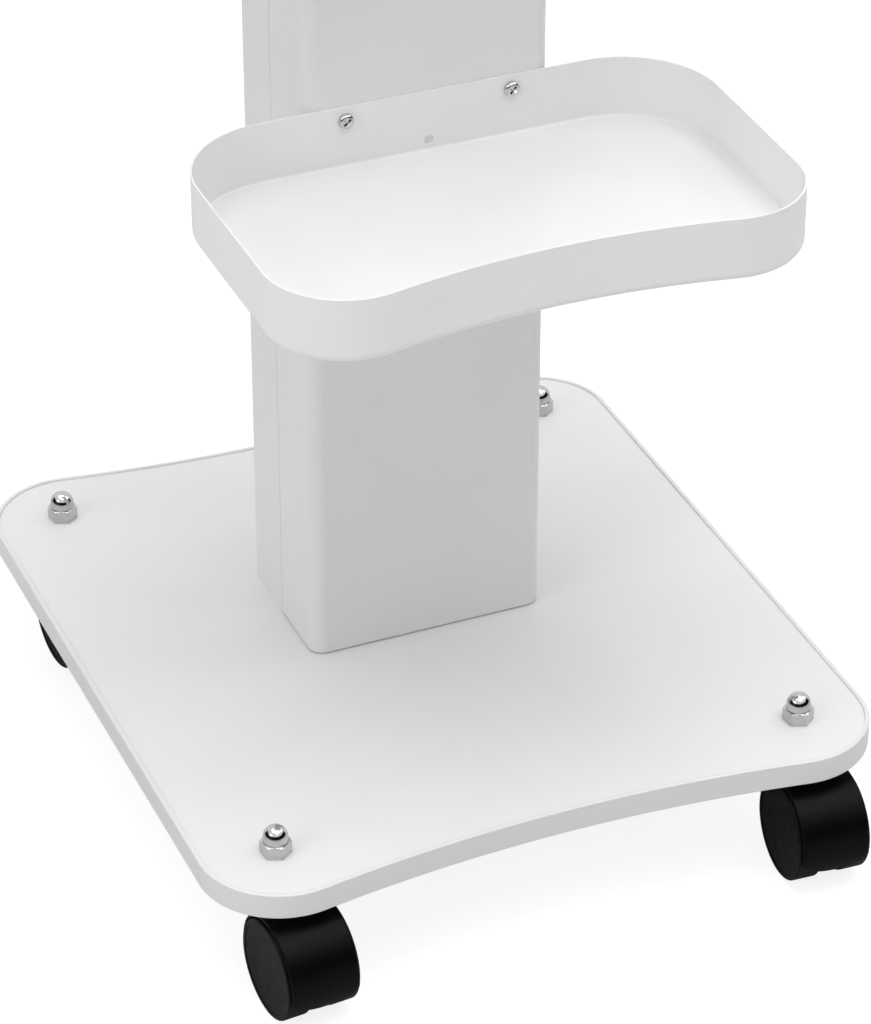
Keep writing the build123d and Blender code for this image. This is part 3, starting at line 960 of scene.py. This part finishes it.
@dataclass(frozen=True)
class CasterShape:
    """Sizes that the four casters share, with the drops and the arch in degrees.

    The axle's middle is at the origin and the axle runs along X.
    """

    trail: float = 30 * MM
    drop: float = 40 * MM
    wheel_r: float = 30 * MM
    half_width: float = 22.3 * MM
    wheel_inner: float = 7.6 * MM
    hub_r: float = 8 * MM
    bore_r: float = 4.05 * MM
    hood_half: float = 20.9 * MM
    hood_inner_r: float = 31 * MM
    hood_outer_r: float = 32.75 * MM
    hood_edge_r: float = 1.4 * MM
    front_drop: float = 15.0
    rear_drop: float = 14.0
    corner_r: float = 4.5 * MM
    arch: float = 7.0
    arch_start: float = 150.0
    web: float = 4 * MM
    boss_half: float = 7.1 * MM
    neck_r: float = 9.5 * MM
    flange_r: float = 10.5 * MM
    flange_h: float = 3 * MM
    neck_top: float = -3.3 * MM
    socket_end: float = -24.25 * MM
    socket_floor: float = 3.5 * MM
    rib: float = 6 * MM
    pin_r: float = 5.05 * MM
    neck_foot: float = -15.5 * MM
    overlap: float = 0.8 * MM

    def wheel(self, side: int) -> Thing:
        """One wheel with a rounded tread edge, a raised rim line and a faintly dished face.

        Args:
            side: 1 for the +X wheel, -1 for the other.

        Returns:
            The wheel.
        """
        inner, outer, r = self.wheel_inner, self.half_width, self.wheel_r
        edge, line, soft = 1.1 * MM, 1.9 * MM, 1.0 * MM
        back, floor_x = outer - 3.6 * MM, outer - 2.6 * MM
        hub = [(0.0, floor_x), (self.bore_r, floor_x), (self.bore_r, inner), (self.hub_r, inner)]
        dish = [(self.hub_r + MM, back), (r - 5 * MM, back), (r - 4 * MM, inner)]
        tread = arc((r - soft, inner + soft), soft, 270, 360, 4)
        tread += arc((r - edge, outer - edge), edge, 0, 90, 6)
        rim = r - edge - line
        groove = [(rim, outer), (rim - 0.25 * MM, outer - 0.35 * MM), (rim - 0.7 * MM, outer - 0.5 * MM),
                  (rim - 1.2 * MM, outer - 0.35 * MM)]
        face = [(0.6 * r, outer - 0.42 * MM), (0.3 * r, outer - 0.46 * MM), (0.0, outer - 0.5 * MM)]
        wheel = turned("wheel", hub + dish + tread + groove + face, 96)
        return shade(moved(wheel, Matrix.Rotation(side * math.pi / 2, 4, "Y")), angle=40.0)

    def hood(self) -> Thing:
        """The hood over both wheels, open below.

        Returns:
            The hood.
        """
        out, low, e, corner = self.hood_outer_r, self.hood_inner_r, self.hood_edge_r, self.corner_r
        start, end = -self.rear_drop, 180 + self.front_drop
        corner_turn = math.degrees(corner / out)
        plain, steps, strips = end - start - 2 * corner_turn, 60, 6
        ends = [corner_turn * (1 - math.cos(math.radians(angle))) for angle in range(0, 91, 15)]
        middle = [start + corner_turn + plain * i / steps for i in range(1, steps)]
        rings = []
        for degrees in [start + turn for turn in ends] + middle + [end - turn for turn in ends[::-1]]:
            # The hood narrows round its lower corners.
            left = min(degrees - start, end - degrees, corner_turn) / corner_turn
            w = self.hood_half - corner * (1 - math.sqrt(max(0.0, 1 - (1 - left) ** 2)))
            across = [w * (1 - i / strips) for i in range(1, 2 * strips)]
            section = joined([(-w, low)], arc((e - w, out - e), e, 180, 90, 6),
                             [(-x, out) for x in across[1:-1]], arc((w - e, out - e), e, 90, 0, 6),
                             [(w, low)], [(x, low) for x in across])
            # The front edge reaches lowest in its middle.
            dip = self.arch * max(0.0, (degrees - self.arch_start) / (end - self.arch_start)) ** 2
            ring = []
            for x, r in section:
                angle = math.radians(degrees + dip * (1 - (x / w) ** 2))
                ring.append(Vector((x, r * math.cos(angle), r * math.sin(angle))))
            rings.append(ring)
        return soften(skin("hood", rings), width=0.5 * MM, segments=3, angle=55.0)

    def inside(self) -> list[Thing]:
        """The housing's middle web, axle boss, neck and rib.

        Returns:
            Their closed shells.
        """
        web_r = self.hood_inner_r + self.overlap
        plate = joined(arc((0.0, 0.0), web_r, -self.rear_drop, 180 + self.front_drop, 60), [(0.0, 0.0)])
        upright = Matrix(((0, 0, 1, 0), (1, 0, 0, 0), (0, 1, 0, 0), (0, 0, 0, 1)))
        web = moved(extruded("web", plate, -self.web / 2, self.web / 2), upright)
        half, hub_r = self.boss_half, self.hub_r
        boss = turned("boss", [(0.0, -half), (hub_r, -half), (hub_r, half), (0.0, half)], 48)
        top, end, pin_r, ease = self.neck_top, self.socket_end, self.pin_r, 0.4 * MM
        flange_r, flange_low, foot = self.flange_r, top - self.flange_h, end - self.socket_floor
        neck = [(0.0, end), (pin_r, end), (pin_r, top), (flange_r - ease, top), (flange_r, top - ease),
                (flange_r, flange_low), (self.neck_r, flange_low - 0.6 * MM),
                (half, self.neck_foot), (half, foot), (0.0, foot)]
        socket = turned("socket", neck, 48)
        rib_side = [(0.0, flange_low), (-self.neck_r, flange_low),
                    (-self.trail, self.hood_outer_r - self.drop - 0.6 * MM),
                    (-self.trail, self.hood_inner_r - self.drop), (0.0, end)]
        rib = moved(extruded("rib", rib_side, -self.rib / 2, self.rib / 2), upright)
        stem = Matrix.Translation((0.0, self.trail, self.drop))
        to_side = Matrix.Rotation(math.pi / 2, 4, "Y")
        return [web, moved(boss, to_side), moved(socket, stem), moved(rib, stem)]

    def housing(self) -> Thing:
        """The whole housing.

        Returns:
            The housing.
        """
        parts = [self.hood()] + [soften(part, width=0.3 * MM) for part in self.inside()]
        return shade(combined("housing", parts), angle=35.0)


@dataclass(frozen=True)
class Caster:
    """One caster, placed by its joints."""

    name: str
    shape: CasterShape

    def place(self) -> Matrix:
        """Where the axle's middle is and how the caster is turned.

        Returns:
            The place.
        """
        joints = {joint["name"]: joint for joint in frame["record"]["behaviour"]["joints"]}
        stem = Vector(joints[f"{self.name}_swivel"]["pos_m"])
        axle = joints[f"{self.name}_outboard_roll"]["axis"]
        turn = Matrix.Rotation(math.atan2(axle[1], axle[0]), 4, "Z")
        to_axle = Matrix.Translation((0.0, -self.shape.trail, -self.shape.drop))
        return Matrix.Translation(stem) @ turn @ to_axle

    def build(self) -> None:
        """Builds the housing and the two wheels."""
        place = self.place()
        housing = moved(self.shape.housing(), place)
        housing.name = f"{self.name}_hooded_housing"
        dress(housing, HOUSING_PLASTIC, f"{self.name}_caster", f"{self.name}_caster_housing")
        for side in (-1, 1):
            which = "outboard" if side * place.translation.x > 0 else "inboard"
            wheel = moved(self.shape.wheel(side), place)
            wheel.name = f"{self.name}_{which}_tyre"
            dress(wheel, WHEEL_PLASTIC, f"{self.name}_{which}_wheel_body", f"{self.name}_{which}_wheel")


class Facing(Enum):
    """Which way a group of screws faces."""

    BACK = "towards the cart's back"
    SIDES = "out of the column's two sides"


@dataclass(frozen=True)
class Fasteners:
    """The visible screws and nuts, with the turns of the column's screws in radians."""

    column_screw: PanHead = PanHead(shank_r=2 * MM, length=9 * MM, head_r=4 * MM, head_h=2.6 * MM)
    tray_screw: PanHead = PanHead(shank_r=2.5 * MM, length=10 * MM, head_r=4.5 * MM, head_h=3.2 * MM)
    nut: CapNut = CapNut()
    stem_x: float = 163.5 * MM
    stem_y: float = 186 * MM
    first_turn: float = 0.5
    turn_step: float = 1.3

    def build(self) -> None:
        """Builds every group of them."""
        low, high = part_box("cap_nuts")
        middle = (low[1] + high[1]) / 2
        turn = Matrix.Rotation(math.radians(self.nut.turn), 4, "Z")
        stems = [Matrix.Translation((sx * self.stem_x, middle + sy * self.stem_y, low[2])) @ turn
                 for sx in (-1, 1) for sy in (-1, 1)]
        fasten("dome_nuts", self.nut.master(), stems, BRIGHT_NUT, "cap_nuts")
        tray_screw = self.tray_screw.master()
        fasten("tray_pan_screws", tray_screw, self.tray_places(), BRIGHT_SCREW, "tray_screws")
        self.build_screws("column_screws", "channel_pan_screws", Facing.BACK)
        self.build_screws("cover_screws", "cover_pan_screws", Facing.SIDES)

    def tray_places(self) -> list[Matrix]:
        """Where the tray's two screws sit, with their heads towards the front.

        Returns:
            Their places.
        """
        low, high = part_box("tray_screws")
        seat, height = low[1] + self.tray_screw.head_h, (low[2] + high[2]) / 2
        facing = Matrix.Rotation(math.pi / 2, 4, "X")
        turns = [Matrix.Rotation(math.radians(turn), 4, "Z") for turn in TRAY_SCREW_TURNS]
        return [Matrix.Translation((side * TRAY_SCREW_SPAN / 2, seat, height)) @ facing @ turn
                for side, turn in zip((-1, 1), turns)]

    def build_screws(self, node: str, name: str, facing: Facing) -> None:
        """Builds a group of the column's screws, placed by its node's box.

        Args:
            node: the group's node.
            name: the piece's name.
            facing: which way their heads face.
        """
        low, high = (Vector(corner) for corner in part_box(node))
        screw, places = self.column_screw, []
        r, h = screw.head_r, screw.head_h
        if facing is Facing.BACK:
            spots = [(x, high.y - h, z) for x in (low.x + r, high.x - r) for z in (low.z + r, high.z - r)]
            places = [Matrix.Translation(spot) @ Matrix.Rotation(-math.pi / 2, 4, "X") for spot in spots]
        else:
            for side, x in ((-1, low.x + h), (1, high.x - h)):
                spot = Matrix.Translation((x, (low.y + high.y) / 2, (low.z + high.z) / 2))
                places.append(spot @ Matrix.Rotation(side * math.pi / 2, 4, "Y"))
        turned_places = [place @ Matrix.Rotation(self.first_turn + self.turn_step * i, 4, "Z")
                         for i, place in enumerate(places)]
        fasten(name, screw.master(), turned_places, BRIGHT_SCREW, node)


@dataclass(frozen=True)
class Lamp:
    """A square soft box aimed at the cart's middle."""

    name: str
    spot: tuple[float, float, float]
    size: float
    power: float
    aim: tuple[float, float, float] = (0.0, 0.0, 0.35)

    def build(self) -> None:
        """Hangs the lamp."""
        data = bpy.data.lights.new(self.name, "AREA")
        data.shape = "SQUARE"
        data.size = self.size
        data.energy = self.power
        lamp = linked(self.name, data)
        lamp.location = self.spot
        way = Vector(self.aim) - Vector(self.spot)
        lamp.rotation_euler = way.to_track_quat("-Z", "Y").to_euler()


@dataclass(frozen=True)
class Studio:
    """Floor, white surroundings, dark flags, lamps and the camera."""

    azimuth: float = -22.86
    elevation: float = 33.1
    distance: float = 2552.72 * MM
    aim: tuple[float, float, float] = (18.37 * MM, 15.31 * MM, 60 * MM)
    lens: float = 148.89
    sensor: float = 36.0
    far_clip: float = 60.0
    flag_distance: float = 3.4
    flag_low: float = 0.06
    flag_high: float = 2.0
    flag_spread: float = 115.0
    flag_colour: Colour = (0.01, 0.01, 0.01)
    ambient: float = 0.49
    floor_half: float = 9.0
    floor_colour: Colour = (0.64, 0.64, 0.64)
    floor_seen: Colour = (0.30, 0.30, 0.30)
    floor_glow: float = 0.84
    lamps: tuple[Lamp, ...] = (
        Lamp("top_soft_box", (-0.45, 0.15, 4.5), 3.6, 81.0),
        Lamp("front_soft_box", (0.45, -1.35, 4.35), 3.3, 68.0),
        Lamp("left_soft_box", (-3.9, -1.2, 2.25), 2.4, 38.0),
        Lamp("right_soft_box", (3.0, -0.3, 3.3), 1.6, 21.0),
    )

    def build_camera(self) -> None:
        """The camera at the photograph's angle, aimed from the middle of the base's top."""
        low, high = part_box("base_board")
        aim = Vector(self.aim) + Vector((0.0, (low[1] + high[1]) / 2, high[2]))
        az, el = math.radians(self.azimuth), math.radians(self.elevation)
        back = Vector((math.sin(az) * math.cos(el), -math.cos(az) * math.cos(el), math.sin(el)))
        data = bpy.data.cameras.new("camera")
        data.lens = self.lens
        data.sensor_width = self.sensor
        data.sensor_fit = "AUTO"
        data.clip_end = self.far_clip
        camera = linked("camera", data)
        camera.location = aim + self.distance * back
        camera.rotation_euler = (-back).to_track_quat("-Z", "Y").to_euler()
        bpy.context.scene.camera = camera

    def build_world(self) -> None:
        """Soft light from all round, seen as plain white."""
        world = bpy.data.worlds.new("white_room")
        world.use_nodes = True
        bpy.context.scene.world = world
        graph = Graph(world.node_tree)
        paths = graph.add("ShaderNodeLightPath")
        seen = paths.outputs["Is Camera Ray"]
        for ray in ("Is Glossy Ray", "Is Transmission Ray"):
            either = graph.add("ShaderNodeMath", {0: seen, 1: paths.outputs[ray]}, operation="MAXIMUM")
            seen = either.outputs[0]
        light, white = [graph.add("ShaderNodeBackground", {"Color": WHITE, "Strength": strength})
                        for strength in (self.ambient, 1.0)]
        mix = graph.add("ShaderNodeMixShader", {0: seen, 1: light.outputs[0], 2: white.outputs[0]})
        graph.add("ShaderNodeOutputWorld", {"Surface": mix.outputs[0]})

    def build_floor(self) -> None:
        """A pale floor that takes the cart's shadow and is else as white as the surroundings."""
        build, half = bmesh.new(), self.floor_half
        build.faces.new([build.verts.new((x * half, y * half, 0.0)) for x, y in SIGNS])
        floor = new_object("floor", build)
        material, graph = blank_material("pale_floor")
        paths = graph.add("ShaderNodeLightPath")
        matt, faint = [graph.add("ShaderNodeBsdfDiffuse", {"Color": (*colour, 1.0)})
                       for colour in (self.floor_colour, self.floor_seen)]
        glow = graph.add("ShaderNodeEmission", {"Color": WHITE, "Strength": self.floor_glow})
        seen = graph.add("ShaderNodeAddShader", {0: faint.outputs[0], 1: glow.outputs[0]})
        mix = graph.add("ShaderNodeMixShader",
                        {0: paths.outputs["Is Camera Ray"], 1: matt.outputs[0], 2: seen.outputs[0]})
        graph.add("ShaderNodeOutputMaterial", {"Surface": mix.outputs[0]})
        floor.data.materials.append(material)

    def build_flags(self) -> None:
        """Dark flags round the front and sides, seen only as dark patches in reflections."""
        build = bmesh.new()
        middle, steps = self.azimuth - 90.0, 24
        rows = []
        for step in range(steps + 1):
            angle = math.radians(middle - self.flag_spread + 2 * self.flag_spread * step / steps)
            x, y = self.flag_distance * math.cos(angle), self.flag_distance * math.sin(angle)
            rows.append([build.verts.new((x, y, z)) for z in (self.flag_low, self.flag_high)])
        for one, other in zip(rows, rows[1:]):
            build.faces.new((one[0], other[0], other[1], one[1]))
        flags = new_object("dark_flags", build)
        material, graph = blank_material("black_flags")
        black = graph.add("ShaderNodeBsdfDiffuse", {"Color": (*self.flag_colour, 1.0)})
        graph.add("ShaderNodeOutputMaterial", {"Surface": black.outputs[0]})
        flags.data.materials.append(material)
        for ray in ("camera", "diffuse", "shadow", "transmission"):
            setattr(flags, f"visible_{ray}", False)

    def build(self) -> None:
        """Sets the whole stage."""
        self.build_camera()
        self.build_world()
        self.build_floor()
        self.build_flags()
        for lamp in self.lamps:
            lamp.build()
        bpy.context.scene.view_settings.view_transform = "Standard"


def build_hidden_metal() -> None:
    """Smooth stand-ins for the inner and lower steel pieces."""
    smooth = ["foot_bolts", "foot_washers", "foot_nuts", "foot_backing_plate", "platform_nuts",
              "platform_studs", "tray_nuts", "foot_bracket", "head_bracket", "stem_rings"]
    smooth += [f"{corner}_caster_stem" for corner in CORNERS]
    for node in smooth:
        dress(merged_copy(node, f"{node}_steel"), PLAIN_STEEL, ROOT, node)
    for corner in CORNERS:
        node = f"{corner}_caster_axle"
        dress(merged_copy(node, f"{node}_steel"), PLAIN_STEEL, f"{corner}_caster", node)


def main() -> None:
    """Builds the cart's pieces in order and sets the stage."""
    logging.basicConfig(level=logging.INFO, format="%(name)s %(message)s")
    Studio().build()
    tray_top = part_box("supply_tray_rim")[1][2]
    Base().build()
    Column().build()
    TRAY.build([(0.0, tray_top - SPARE_HOLE_DROP, SPARE_HOLE_R)])
    PLATFORM.build()
    Fasteners().build()
    for corner in CORNERS:
        Caster(corner, CasterShape()).build()
    build_hidden_metal()


if __name__ == "__main__":
    main()
